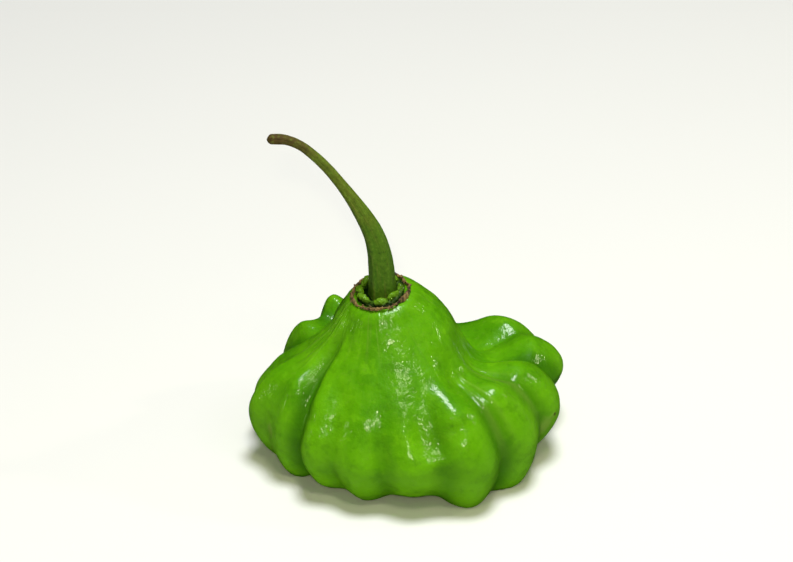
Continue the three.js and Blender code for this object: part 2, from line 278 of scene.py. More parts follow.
class Graph:
    """A node tree being filled in."""

    def __init__(self, tree):
        self.tree = tree

    def node(self, kind, inputs=None, **settings):
        """Adds a node, sets what is given and links the inputs that are sockets."""
        made = self.tree.nodes.new(kind)
        for key, value in settings.items():
            setattr(made, key, value)
        for key, value in (inputs or {}).items():
            if isinstance(value, bpy.types.NodeSocket):
                self.tree.links.new(value, made.inputs[key])
            else:
                made.inputs[key].default_value = value
        return made

    def sum(self, operation, a, b=0.0, c=None):
        """The result of a sum of numbers or sockets."""
        inputs = {0: a, 1: b}
        if c is not None:
            inputs[2] = c
        return self.node("ShaderNodeMath", inputs, operation=operation).outputs[0]

    def vector(self, operation, a, b=None, scale=None):
        """The result of a sum of vectors."""
        inputs = {0: a}
        if b is not None:
            inputs[1] = b
        if scale is not None:
            inputs[3] = scale
        return self.node("ShaderNodeVectorMath", inputs, operation=operation).outputs[0]

    def fit(self, value, low, high, to_low=0.0, to_high=1.0):
        """value taken from one range to another, and held there."""
        made = self.node("ShaderNodeMapRange", {0: value, 1: low, 2: high, 3: to_low, 4: to_high},
                         interpolation_type="SMOOTHSTEP")
        return made.outputs[0]

    def mix(self, share, a, b):
        """Two colours mixed."""
        made = self.node("ShaderNodeMix", {0: share}, data_type="RGBA")
        for index, value in ((6, a), (7, b)):
            if isinstance(value, bpy.types.NodeSocket):
                self.tree.links.new(value, made.inputs[index])
            else:
                made.inputs[index].default_value = (*value, 1)
        return made.outputs[2]

    def noise(self, where, scale, detail=3.0, rough=0.55):
        """A cloudy pattern."""
        made = self.node("ShaderNodeTexNoise", {
            "Vector": where, "Scale": scale, "Detail": detail, "Roughness": rough})
        return made.outputs["Fac"]

    def clouds(self, seed, scale, detail, output="Fac"):
        """A cloudy pattern through a geometry, as a number or a colour, that its seed changes."""
        where = self.node("GeometryNodeInputPosition").outputs[0]
        made = self.node("ShaderNodeTexNoise", {"Vector": where, "W": seed, "Scale": scale, "Detail": detail},
                         noise_dimensions="4D")
        return made.outputs[output]

    def swing(self, pattern, size, middle=0.5):
        """A pattern between 0 and 1 as a number either side of 0, as large as size makes it."""
        return self.sum("MULTIPLY", self.sum("SUBTRACT", pattern, middle), size)

    def shake(self, pattern, size, middle=(0.5, 0.5, 0.5)):
        """A pattern's colour as a push either way, as large as size makes it."""
        return self.vector("MULTIPLY", self.vector("SUBTRACT", pattern, middle), size)

    def random(self, low, high, seed):
        """A random vector between two others."""
        made = self.node("FunctionNodeRandomValue", {0: low, 1: high, "Seed": seed}, data_type="FLOAT_VECTOR")
        return made.outputs[0]

    def store(self, geometry, name, value, kind="FLOAT"):
        """A geometry with a value kept at each point under a name."""
        made = self.node("GeometryNodeStoreNamedAttribute", {
            "Geometry": geometry, "Name": name, "Value": value}, data_type=kind, domain="POINT")
        return made.outputs[0]

    def named(self, name):
        """A number kept on a geometry under a name."""
        return self.node("GeometryNodeInputNamedAttribute", {"Name": name}, data_type="FLOAT").outputs[0]

    def moved(self, geometry, **how):
        """A geometry with its points at a new Position or pushed by an Offset."""
        return self.node("GeometryNodeSetPosition", {"Geometry": geometry, **how}).outputs[0]

    def shaped(self, geometry, **how):
        """A geometry scaled, turned or moved as a whole."""
        return self.node("GeometryNodeTransform", {"Geometry": geometry, **how}).outputs[0]

    def circle(self, points, radius):
        """A closed ring."""
        made = self.node("GeometryNodeCurvePrimitiveCircle", {"Resolution": points, "Radius": radius})
        return made.outputs[0]

    def joined(self, *parts):
        """Several geometries as one."""
        made = self.node("GeometryNodeJoinGeometry")
        for part in parts:
            self.tree.links.new(part, made.inputs[0])
        return made.outputs[0]

    def bump(self, height, strength, depth, under=None):
        """A fine relief in a finish, its depth in metres, on top of another one where it is given."""
        inputs = {"Height": height, "Strength": strength, "Distance": depth}
        if under is not None:
            inputs["Normal"] = under
        return self.node("ShaderNodeBump", inputs).outputs[0]

    def attribute(self, name):
        """A value kept on the piece's own mesh."""
        return self.node("ShaderNodeAttribute", attribute_name=name)


def finish_of(name):
    """A new material with its graph, its surface shader and the object's coordinates."""
    made = bpy.data.materials.new(name)
    made.use_nodes = True
    graph = Graph(made.node_tree)
    shader = made.node_tree.nodes["Principled BSDF"]
    where = graph.node("ShaderNodeTexCoord").outputs["Object"]
    return made, graph, shader, where


def end_finish(graph, shader, tone, relief, values):
    """Ends a finish: its colour, its fine relief and the shader's own values."""
    graph.tree.links.new(tone, shader.inputs["Base Color"])
    graph.tree.links.new(relief, shader.inputs["Normal"])
    for name, value in values.items():
        shader.inputs[name].default_value = value


def skin_finish(colours):
    """The waxy green skin: mottled and finely pitted, with pale streaks near the calyx, a few dry scars,
    painted shade in the grooves and the well of the seat, and a lower part paled partly by painted light."""
    made, g, shader, where = finish_of("waxy_green_skin")
    groove = g.attribute("groove").outputs["Fac"]
    down = g.attribute("down").outputs["Fac"]
    ring = g.attribute("ring").outputs["Vector"]
    clouds = g.noise(where, 120.0)
    mottle = g.noise(where, 520.0, 4.0, 0.6)
    streaks = g.noise(g.vector("MULTIPLY", ring, (13.0, 13.0, 1.6)), 1.0, 3.0, 0.6)
    share = g.sum("ADD", g.fit(clouds, 0.32, 0.70), g.swing(mottle, 0.9))
    share = g.sum("SUBTRACT", share, g.swing(streaks, 1.1))
    share = g.node("ShaderNodeClamp", {0: share}).outputs[0]
    tone = g.mix(share, colours.body, colours.crest)
    # Paler, yellower green lower down the lobes: partly their own tone, partly painted light that brightens
    # them
    tone = g.mix(g.fit(down, 0.50, 0.70, 0.0, 0.55), tone, colours.pale_hem_and_painted_light)
    blotch = g.noise(where, 330.0, 4.0, 0.65)
    tone = g.mix(g.fit(blotch, 0.50, 0.34, 0.0, 0.30), tone, colours.groove)
    tone = g.mix(g.fit(blotch, 0.54, 0.70, 0.0, 0.40), tone, colours.pale_hem_and_painted_light)
    grain = g.noise(where, 1500.0, 3.0, 0.6)
    tone = g.mix(g.fit(grain, 0.48, 0.34, 0.0, 0.08), tone, colours.groove)
    tone = g.mix(g.fit(grain, 0.56, 0.72, 0.0, 0.15), tone, colours.pale)
    # Painted shade: deep green the deeper a point lies in a groove or hollow
    tone = g.mix(g.fit(groove, 0.12, 0.88, 0.0, 0.78), tone, colours.groove)
    top = g.fit(down, 0.42, 0.16)
    line = g.fit(streaks, 0.56, 0.70)
    tone = g.mix(g.sum("MULTIPLY", g.sum("MULTIPLY", top, line), 0.45), tone, colours.pale)
    wrinkle = g.attribute("wrinkle").outputs["Fac"]
    tone = g.mix(g.sum("MULTIPLY", wrinkle, 1.3), tone, colours.pale)
    scar = g.attribute("scar").outputs["Fac"]
    flecks = g.fit(g.sum("ADD", scar, g.swing(mottle, 1.2)), 0.35, 0.95, 0.0, 0.6)
    tone = g.mix(flecks, tone, colours.pale)
    tone = g.mix(g.fit(g.attribute("dark").outputs["Fac"], 0.3, 0.8, 0.0, 0.8), tone, colours.cork_dark)
    # Painted shade: the skin turns near black in the well of the seat, between the rim and the collar
    seat_shade = g.fit(down, 0.098, 0.070)
    tone = g.mix(seat_shade, tone, colours.dark_speck_and_shade)
    ridges = g.noise(g.vector("MULTIPLY", ring, (7.0, 7.0, 2.2)), 1.0, 2.0, 0.4)
    ripple = g.noise(where, 520.0)
    pits = g.noise(where, 1900.0, 3.0, 0.6)
    relief = g.bump(ridges, 0.3, 0.40 * MM)
    relief = g.bump(ripple, 0.5, 0.38 * MM, relief)
    relief = g.bump(pits, 0.5, 0.075 * MM, relief)
    g.tree.links.new(relief, shader.inputs["Coat Normal"])
    g.tree.links.new(g.fit(mottle, 0.3, 0.7, 0.36, 0.50), shader.inputs["Roughness"])
    end_finish(g, shader, tone, relief, {
        "Specular IOR Level": 0.06, "Coat Weight": 0.42, "Coat Roughness": 0.12,
        "Subsurface Weight": 0.06, "Subsurface Radius": (0.35, 1.0, 0.15), "Subsurface Scale": 1.5 * MM})
    return made


def cork_finish(colours):
    """Dry brown cork, tan on its edges and dark in its cracks."""
    made, g, shader, where = finish_of("dry_cork")
    crumbs = g.noise(where, 1700.0, 5.0, 0.65)
    bands = g.noise(where, 420.0, 2.0)
    share = g.sum("ADD", g.sum("MULTIPLY", crumbs, 0.7), g.sum("MULTIPLY", bands, 0.5))
    tone = g.mix(g.fit(share, 0.48, 0.70), colours.cork_dark, colours.cork)
    tone = g.mix(g.fit(g.noise(where, 900.0, 2.0), 0.60, 0.72, 0.0, 0.6), tone, colours.stem_olive)
    end_finish(g, shader, tone, g.bump(crumbs, 0.8, 0.2 * MM), {"Roughness": 0.85})
    return made


def collar_finish(colours):
    """Crumpled green tissue with painted shade, darker the lower it lies and near black between the folds."""
    made, g, shader, where = finish_of("crumpled_calyx")
    height = g.attribute("height").outputs["Fac"]
    veins = g.noise(where, 1300.0, 4.0, 0.6)
    # Painted shade: the lower a point of the collar lies, the nearer it turns to the dark green between the
    # folds
    share = g.sum("ADD", g.fit(height, 0.5 * MM, 1.5 * MM), g.swing(veins, 0.8))
    tone = g.mix(g.node("ShaderNodeClamp", {0: share}).outputs[0], colours.dark_speck_and_shade, colours.leaf)
    tone = g.mix(g.fit(g.noise(where, 650.0, 2.0), 0.60, 0.74, 0.0, 0.7), tone, colours.pale)
    end_finish(g, shader, tone, g.bump(veins, 0.7, 0.25 * MM), {
        "Roughness": 0.42, "Specular IOR Level": 0.15, "Coat Weight": 0.15})
    return made


def stem_finish(colours):
    """The stem: green at its foot, olive along its length and brown at its dry end, with fine ribs."""
    made, g, shader, where = finish_of("ribbed_stem")
    along = g.attribute("along").outputs["Fac"]
    ring = g.attribute("round").outputs["Vector"]
    lift = g.node("ShaderNodeCombineXYZ", {2: g.sum("MULTIPLY", along, 5.0)}).outputs[0]
    wrap = g.vector("ADD", g.vector("MULTIPLY", ring, (3.2, 3.2, 0.0)), lift)
    ribs = g.noise(wrap, 1.6, 4.0, 0.65)
    patches = g.noise(where, 330.0)
    specks = g.noise(where, 1500.0, 4.0, 0.65)
    drift = g.sum("ADD", along, g.swing(patches, 0.35))
    tone = g.mix(g.fit(drift, 0.20, 0.60), colours.stem_green, colours.stem_olive)
    tone = g.mix(g.fit(drift, 0.62, 1.02), tone, colours.stem_brown)
    tone = g.mix(g.fit(ribs, 0.54, 0.74, 0.0, 0.30), tone, colours.cork)
    tone = g.mix(g.fit(ribs, 0.48, 0.30, 0.0, 0.40), tone, colours.groove)
    tone = g.mix(g.fit(specks, 0.50, 0.70, 0.0, 0.30), tone, colours.pale)
    tone = g.mix(g.fit(specks, 0.46, 0.32, 0.0, 0.35), tone, colours.dark_speck_and_shade)
    relief = g.bump(specks, 0.6, 0.22 * MM, g.bump(ribs, 0.6, 0.25 * MM))
    end_finish(g, shader, tone, relief, {"Roughness": 0.62, "Specular IOR Level": 0.15})
    return made


def smooth(x):
    """0 below 0, 1 above 1 and a smooth step between."""
    x = np.clip(x, 0, 1)
    return x * x * (3 - 2 * x)


def spline(stations, u):
    """A smooth curve through evenly numbered stations, at the shares u of the way along it."""
    last = len(stations) - 1
    low = np.minimum(np.floor(last * u).astype(int), last - 1)
    t = (last * u - low).reshape((-1,) + (1,) * (stations.ndim - 1))
    before, a, b, after = (stations[np.clip(low + k, 0, last)] for k in (-1, 0, 1, 2))
    va, vb = (b - before) / 2, (after - a) / 2
    return (2 * a - 2 * b + va + vb) * t**3 + (-3 * a + 3 * b - 2 * va - vb) * t**2 + va * t + a


def band(value, first, last, fade_in, fade_out):
    """1 between two values, fading to 0 inside each."""
    return smooth((value - first) / fade_in) * smooth((last - value) / fade_out)


def spot(angle, u, at, share, wide, tall):
    """1 in the middle of a spot on the skin, fading to 0 round it."""
    off = (angle - at + 180) % 360 - 180
    return np.exp(-((off / wide) ** 2) - ((u - share) / tall) ** 2)


def fruit_skin(sizes):
    """The points of the skin in metres, rows from the seat to the scar by columns round the fruit,
    the direction of each column and what the finish reads at each point."""
    seat = sizes.seat / MM
    crests = {key: np.array([lobe[key] for lobe in LOBES], float) for key in LOBES[0]}
    count, per = len(LOBES), sizes.columns
    i = np.repeat(np.arange(count), per)
    share = np.tile(np.arange(per) / per, count)
    j = (i + 1) % count
    direction = np.radians(crests["at"][i] + (crests["at"][j] - crests["at"][i]) % 360 * share)
    mixed = {key: v[i] + (v[j] - v[i]) * smooth(share) for key, v in crests.items()}
    reach, crown, hang = mixed["reach"], mixed["crown"], mixed["hang"]
    flat = np.zeros(count * per)
    # The stations of the outline: the middle and the edge of the seat, the shoulder, the cone, the
    # waist, the crown, the widest place, the lower edge, the underside and the scar
    radius = np.array([flat, flat + sizes.seat_radius / MM, flat + sizes.shoulder / MM, mixed["cone"],
                       mixed["waist"], reach - mixed["brow"], reach, reach - mixed["tuck"], reach * 0.5, flat])
    height = np.array([flat + seat, flat + seat, flat + seat - sizes.shoulder_drop / MM,
                       flat + sizes.cone_height / MM, mixed["waist_z"], crown, hang + (crown - hang) * 0.52,
                       hang, hang * 0.5 + 2, flat + sizes.scar / MM])
    u = np.linspace(0, 1, sizes.rows + 1)
    r, z = spline(radius, u), spline(height, u)
    dr, dz = np.gradient(r, axis=0), np.gradient(z, axis=0)
    run = np.hypot(dr, dz) + 1e-9
    u = u[:, None] + 0 * r
    deep, climb, sharp = (crests[key][i] for key in ("deep", "climb", "sharp"))
    power = 2 - 1.2 * sharp * smooth((u - SHARP_START) / SHARP_GROWTH)
    arch = np.cos(math.pi / 2 * (1 - np.abs(2 * share - 1))) ** power
    rise = smooth((u - GROOVE_START + GROOVE_CLIMB * climb) / GROOVE_GROWTH)
    fall = 1 - smooth((u - GROOVE_END) / GROOVE_FADE)
    push = deep * (1 - arch) * rise * fall * np.clip(r / GROOVE_RADIUS, 0, 1)
    angle = np.degrees(direction)
    hollow = sum(spot(angle, u, *place) * depth for *place, depth in HOLLOWS)
    scar = sum(spot(angle, u, *place) for *place, _ in SCARS)
    dark = sum(spot(angle, u, *place) * tone for *place, tone in SCARS)
    wrinkle = 0
    for start, end, top, bottom, apart, tall in WRINKLES:
        where = band(angle, start, end, 8, 8) * band(u, top, bottom, 0.06, 0.12)
        # The spacing drifts, and each wrinkle has a height of its own that comes and goes on its way.
        strand = (angle + 1.4 * np.sin(11 * u + angle / 6) + 1.1 * np.sin(0.55 * angle)) / apart
        uneven = 0.55 + 0.45 * np.sin(2.4 * np.floor(strand + 0.5) + 9 * u)
        wrinkle = wrinkle + tall * where * uneven * (0.5 + 0.5 * np.cos(2 * math.pi * strand)) ** 2
    # How deep each point lies in a groove or hollow, which the finish reads to paint shade there
    groove = (push + 0.5 * hollow) / 2.2
    push = push + hollow - sizes.wrinkles * wrinkle
    r, z = np.maximum(r + push * dz / run, 0), z - push * dr / run
    turned = direction + np.radians(mixed["sway"]) * (1 - smooth((u - SWAY_START) / SWAY_FADE))
    x, y = r * np.sin(turned), -r * np.cos(turned)
    lean = np.clip((z - LEAN_START) / (seat - LEAN_START), 0, 1) ** LEAN_POWER
    slope = smooth((z - SLOPE_START) / (seat - SLOPE_START))
    lift = x * math.tan(sizes.slope[0]) + y * math.tan(sizes.slope[1])
    x, y = x + sizes.lean[0] / MM * lean - MIDDLE[0], y + sizes.lean[1] / MM * lean - MIDDLE[1]
    points = np.stack([x, y, np.maximum(z + slope * lift, 0)], -1) * MM
    # The tops of the grooves at the back are rounded off, and the crests are left as they are.
    back = band(angle, *ROUNDED_SIDES) * band(u, *ROUNDED_SHARES) * smooth(2.2 * (1 - arch))
    for _ in range(sizes.rounding):
        beside = np.roll(points, 1, 1) + np.roll(points, -1, 1)
        above = np.roll(points, 1, 0) + np.roll(points, -1, 0)
        points = points + ((beside + above) / 4 - points) * back[..., None]
    return points, direction, {"groove": groove, "down": u, "wrinkle": wrinkle, "scar": scar, "dark": dark}


def mesh_object(name, points, faces, edges=()):
    """A new object with this mesh, shown in the scene."""
    mesh = bpy.data.meshes.new(name)
    mesh.from_pydata(points, edges, faces)
    mesh.update()
    made = bpy.data.objects.new(name, mesh)
    bpy.context.scene.collection.objects.link(made)
    return made


def keep(mesh, name, kind, values):
    """Keeps a value at each point of the mesh under a name, for the materials."""
    layer = mesh.attributes.new(name, kind, "POINT")
    field = "vector" if kind == "FLOAT_VECTOR" else "value"
    layer.data.foreach_set(field, np.ravel(values).astype(np.float32))


def tree_with(name, sockets):
    """A new geometry tree with a geometry going in and out and these named inputs."""
    tree = bpy.data.node_groups.new(name, "GeometryNodeTree")
    tree.interface.new_socket("Geometry", in_out="INPUT", socket_type="NodeSocketGeometry")
    for label, kind in sockets.items():
        tree.interface.new_socket(label, in_out="INPUT", socket_type=kind)
    tree.interface.new_socket("Geometry", in_out="OUTPUT", socket_type="NodeSocketGeometry")
    graph = Graph(tree)
    return graph, graph.node("NodeGroupInput").outputs


def end_tree(graph, geometry, material):
    """Ends a tree: smooth faces, real copies and the material."""
    shaded = graph.node("GeometryNodeSetShadeSmooth", {"Geometry": geometry})
    real = graph.node("GeometryNodeRealizeInstances", {"Geometry": shaded.outputs[0]})
    done = graph.node("GeometryNodeSetMaterial", {"Geometry": real.outputs[0], "Material": material})
    graph.node("NodeGroupOutput", {0: done.outputs[0]})


def grown(source, graph, values):
    """Runs the tree on the source object with these inputs and makes the result the object's own mesh."""
    modifier = source.modifiers.new(graph.tree.name, "NODES")
    modifier.node_group = graph.tree
    for item in graph.tree.interface.items_tree:
        if item.in_out == "INPUT" and item.name in values:
            modifier[item.identifier] = values[item.name]
    bpy.context.view_layer.update()
    solid = source.evaluated_get(bpy.context.evaluated_depsgraph_get())
    mesh = bpy.data.meshes.new_from_object(solid)
    source.modifiers.remove(modifier)
    old = source.data
    source.data = mesh
    if isinstance(old, bpy.types.Mesh):
        bpy.data.meshes.remove(old)
    mesh.name = source.name
    if not len(mesh.polygons):
        raise RuntimeError(source.name + " came out empty")
    return source


def place(piece, node, slot):
    """Lets the piece stand for its node."""
    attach(piece, "root")
    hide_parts(node)


def relief_tree():
    """Pushes a surface in and out along its normal by a cloudy pattern, never below the floor."""
    g, given = tree_with("skin_relief", {
        "Depth": "NodeSocketFloat", "Scale": "NodeSocketFloat", "Seed": "NodeSocketInt",
        "Material": "NodeSocketMaterial"})
    where = g.node("GeometryNodeInputPosition").outputs[0]
    normal = g.node("GeometryNodeInputNormal").outputs[0]
    amount = g.swing(g.clouds(given["Seed"], given["Scale"], 2.0), given["Depth"], 0.55)
    pushed = g.vector("ADD", where, g.vector("SCALE", normal, scale=amount))
    pushed = g.node("ShaderNodeSeparateXYZ", {0: pushed})
    floor = g.sum("MAXIMUM", pushed.outputs[2], 0.0)
    new = g.node("ShaderNodeCombineXYZ", {0: pushed.outputs[0], 1: pushed.outputs[1], 2: floor}).outputs[0]
    end_tree(g, g.moved(given["Geometry"], Position=new), given["Material"])
    return g


class PEPPER_OT_fruit(bpy.types.Operator):
    """Builds the lobed fruit"""

    bl_idname = "pepper.fruit"
    bl_label = "Fruit"

    def execute(self, context):
        sizes = context.scene.pepper_fruit
        points, direction, kept = fruit_skin(sizes)
        rows, columns = points.shape[:2]
        inner = slice(1, rows - 1)
        flat = np.concatenate([points[:1, 0], points[inner].reshape(-1, 3), points[-1:, 0]])
        ring = np.arange(columns)
        after = (ring + 1) % columns
        faces = [(0, 1 + a, 1 + b) for a, b in zip(ring.tolist(), after.tolist())]
        for k in range(rows - 3):
            top, low = 1 + k * columns, 1 + (k + 1) * columns
            faces += [(top + a, low + a, low + b, top + b) for a, b in zip(ring.tolist(), after.tolist())]
        low, end = 1 + (rows - 3) * columns, len(flat) - 1
        faces += [(low + b, low + a, end) for a, b in zip(ring.tolist(), after.tolist())]
        fruit = mesh_object("fruit_skin", flat.tolist(), faces)
        down = kept["down"]
        kept["ring"] = np.stack([np.sin(direction) + 0 * down, np.cos(direction) + 0 * down, down], -1)
        for name, values in kept.items():
            keep(fruit.data, name, "FLOAT" if values.ndim == 2 else "FLOAT_VECTOR", np.concatenate(
                [values[:1, 0].ravel(), values[inner].ravel(), values[-1:, 0].ravel()]))
        grown(fruit, relief_tree(), {"Depth": sizes.relief, "Scale": sizes.grain, "Seed": sizes.seed,
                                     "Material": skin_finish(context.scene.pepper_skin)})
        place(fruit, "fruit", "fruit_skin")
        return {"FINISHED"}


def seat_frame(sizes):
    """The middle of the seat in metres, and the turn that lays a piece square on its slope."""
    middle = Vector((sizes.lean[0] - MIDDLE[0] * MM, sizes.lean[1] - MIDDLE[1] * MM, sizes.seat))
    up = Vector((-math.tan(sizes.slope[0]), -math.tan(sizes.slope[1]), 1)).normalized()
    return middle, Vector((0, 0, 1)).rotation_difference(up)


def lay_on_seat(g, geometry, given):
    """Turns and moves a geometry from the origin onto the seat."""
    return g.shaped(geometry, Translation=given["Place"], Rotation=given["Turn"])


def rim_tree():
    """An uneven ring of cork with loose flakes along it."""
    g, given = tree_with("cork_rim", {
        "Radius": "NodeSocketFloat", "Width": "NodeSocketFloat", "Height": "NodeSocketFloat",
        "Flakes": "NodeSocketInt", "Flake size": "NodeSocketFloat", "Seed": "NodeSocketInt",
        "Place": "NodeSocketVector", "Turn": "NodeSocketRotation", "Material": "NodeSocketMaterial"})
    seed = given["Seed"]
    wobble = g.clouds(seed, 420.0, 3.0, "Color")
    shift = g.shake(wobble, (1.3 * MM, 1.3 * MM, 0.9 * MM), (0.5, 0.5, 0.45))
    bent = g.moved(g.circle(220, given["Radius"]), Offset=shift)
    uneven = g.store(bent, "thick", g.fit(g.clouds(seed, 330.0, 2.0), 0.38, 0.62, 0.55, 1.45))
    thick = g.named("thick")
    sized = g.node("GeometryNodeSetCurveRadius", {"Curve": uneven, "Radius": thick})
    squash = g.node("ShaderNodeCombineXYZ", {0: given["Width"], 1: given["Height"], 2: 1.0})
    oval = g.shaped(g.circle(14, 0.5), Scale=squash.outputs[0])
    tube = g.node("GeometryNodeCurveToMesh", {"Curve": sized.outputs[0], "Profile Curve": oval})
    if "Scale" in tube.inputs:
        g.tree.links.new(thick, tube.inputs["Scale"])
    crumble = g.shake(g.clouds(seed, 1500.0, 4.0, "Color"), (0.8 * MM, 0.8 * MM, 0.9 * MM))
    ring = g.moved(tube.outputs[0], Offset=crumble)
    spots = g.node("GeometryNodeCurveToPoints", {"Curve": bent, "Count": given["Flakes"]}, mode="COUNT")
    drift = g.random((-0.3 * MM, -0.3 * MM, -0.2 * MM), (0.3 * MM, 0.3 * MM, 0.25 * MM), seed)
    flake = g.node("GeometryNodeMeshIcoSphere", {"Radius": given["Flake size"], "Subdivisions": 2})
    copies = g.node("GeometryNodeInstanceOnPoints", {
        "Points": g.moved(spots.outputs[0], Offset=drift), "Instance": flake.outputs[0],
        "Rotation": g.random((-0.6, -0.9, 0.0), (0.6, 0.9, 6.28), seed),
        "Scale": g.random((0.5, 0.35, 0.5), (1.5, 0.7, 1.5), seed)})
    real = g.node("GeometryNodeRealizeInstances", {"Geometry": copies.outputs[0]})
    both = g.joined(ring, g.moved(real.outputs[0], Offset=crumble))
    end_tree(g, lay_on_seat(g, both, given), given["Material"])
    return g


class PEPPER_OT_calyx_rim(bpy.types.Operator):
    """Builds the corky rim round the calyx"""

    bl_idname = "pepper.calyx_rim"
    bl_label = "Corky rim"

    def execute(self, context):
        sizes = context.scene.pepper_calyx
        middle, turn = seat_frame(context.scene.pepper_fruit)
        rim = mesh_object("cork_rim", [], [])
        grown(rim, rim_tree(), {
            "Radius": sizes.rim_radius, "Width": sizes.rim_width, "Height": sizes.rim_height,
            "Flakes": sizes.flakes, "Flake size": sizes.flake_size, "Seed": sizes.seed,
            "Place": middle + turn @ Vector((0, 0, sizes.rim_height * 0.45)), "Turn": turn.to_euler(),
            "Material": cork_finish(context.scene.pepper_skin)})
        place(rim, "calyx_rim", "calyx_cork")
        return {"FINISHED"}


def collar_tree():
    """A ring of crumpled folds on a low base, each lying along the ring."""
    g, given = tree_with("collar_folds", {
        "Radius": "NodeSocketFloat", "Folds": "NodeSocketInt", "Fold size": "NodeSocketFloat",
        "Seed": "NodeSocketInt", "Place": "NodeSocketVector", "Turn": "NodeSocketRotation",
        "Material": "NodeSocketMaterial"})
    seed, where = given["Seed"], g.node("GeometryNodeInputPosition").outputs[0]
    circle = g.circle(96, given["Radius"])
    oval = g.shaped(g.circle(16, 0.5), Scale=(1.4 * MM, 1.0 * MM, 1.0))
    base = g.node("GeometryNodeCurveToMesh", {"Curve": circle, "Profile Curve": oval})
    raised = g.shaped(base.outputs[0], Translation=(0, 0, 0.35 * MM))
    spots = g.node("GeometryNodeCurveToPoints", {"Curve": circle, "Count": given["Folds"]}, mode="COUNT")
    drift = g.random((-0.4 * MM, -0.4 * MM, -0.1 * MM), (0.4 * MM, 0.4 * MM, 0.5 * MM), seed)
    lump = g.node("GeometryNodeMeshIcoSphere", {"Radius": given["Fold size"], "Subdivisions": 5})
    parts = g.node("ShaderNodeSeparateXYZ", {0: where})
    facing = g.sum("ARCTAN2", parts.outputs[1], parts.outputs[0])
    around = g.node("ShaderNodeCombineXYZ", {2: facing})
    turn = g.random((-0.25, -0.3, -0.3), (0.25, 0.3, 0.3), seed)
    copies = g.node("GeometryNodeInstanceOnPoints", {
        "Points": g.moved(spots.outputs[0], Offset=drift), "Instance": lump.outputs[0],
        "Rotation": g.vector("ADD", around.outputs[0], turn),
        "Scale": g.random((0.50, 1.25, 0.55), (0.80, 2.10, 0.90), seed)})
    lifted = g.shaped(copies.outputs[0], Translation=(0, 0, 0.65 * MM))
    real = g.node("GeometryNodeRealizeInstances", {"Geometry": lifted})
    crumple = g.shake(g.clouds(seed, 620.0, 2.0, "Color"), (1.5 * MM, 1.5 * MM, 1.0 * MM))
    crease = g.shake(g.clouds(seed, 2400.0, 2.0, "Color"), (0.6 * MM, 0.6 * MM, 0.6 * MM))
    bent = g.moved(g.joined(raised, real.outputs[0]), Offset=g.vector("ADD", crumple, crease))
    # Each point's height, which the finish reads to paint shade between the folds
    kept = g.store(bent, "height", parts.outputs[2])
    end_tree(g, lay_on_seat(g, kept, given), given["Material"])
    return g


class PEPPER_OT_calyx_collar(bpy.types.Operator):
    """Builds the crumpled green collar between the rim and the stem"""

    bl_idname = "pepper.calyx_collar"
    bl_label = "Green collar"

    def execute(self, context):
        sizes = context.scene.pepper_calyx
        middle, turn = seat_frame(context.scene.pepper_fruit)
        collar = mesh_object("green_collar", [], [])
        grown(collar, collar_tree(), {
            "Radius": sizes.collar_radius, "Folds": sizes.folds, "Fold size": sizes.fold_size,
            "Seed": sizes.seed, "Place": middle, "Turn": turn.to_euler(),
            "Material": collar_finish(context.scene.pepper_skin)})
        place(collar, "calyx_collar", "calyx_green")
        return {"FINISHED"}


def stem_tree():
    """A fluted, uneven tube along a line whose points hold their radius."""
    g, given = tree_with("fluted_stem", {
        "Flutes": "NodeSocketInt", "Flute depth": "NodeSocketFloat", "Unevenness": "NodeSocketFloat",
        "Seed": "NodeSocketInt", "Material": "NodeSocketMaterial"})
    where = g.node("GeometryNodeInputPosition").outputs[0]
    thick = g.named("thick")
    line = g.node("GeometryNodeMeshToCurve", {"Mesh": given["Geometry"]})
    sized = g.node("GeometryNodeSetCurveRadius", {"Curve": line.outputs[0], "Radius": thick})
    along = g.store(sized.outputs[0], "along", g.node("GeometryNodeSplineParameter").outputs[0])
    parts = g.node("ShaderNodeSeparateXYZ", {0: where})
    angle = g.sum("ARCTAN2", parts.outputs[1], parts.outputs[0])
    wave = g.sum("COSINE", g.sum("MULTIPLY", angle, given["Flutes"]))
    scale = g.sum("ADD", g.sum("MULTIPLY", wave, given["Flute depth"]), 1.0)
    fluted = g.moved(g.circle(48, 1.0), Position=g.vector("SCALE", where, scale=scale))
    profile = g.store(fluted, "round", where, "FLOAT_VECTOR")
    tube = g.node("GeometryNodeCurveToMesh", {"Curve": along, "Profile Curve": profile, "Fill Caps": True})
    if "Scale" in tube.inputs:
        g.tree.links.new(thick, tube.inputs["Scale"])
    amount = g.swing(g.clouds(given["Seed"], 420.0, 3.0), given["Unevenness"])
    normal = g.node("GeometryNodeInputNormal").outputs[0]
    uneven = g.moved(tube.outputs[0], Offset=g.vector("SCALE", normal, scale=amount))
    end_tree(g, uneven, given["Material"])
    return g


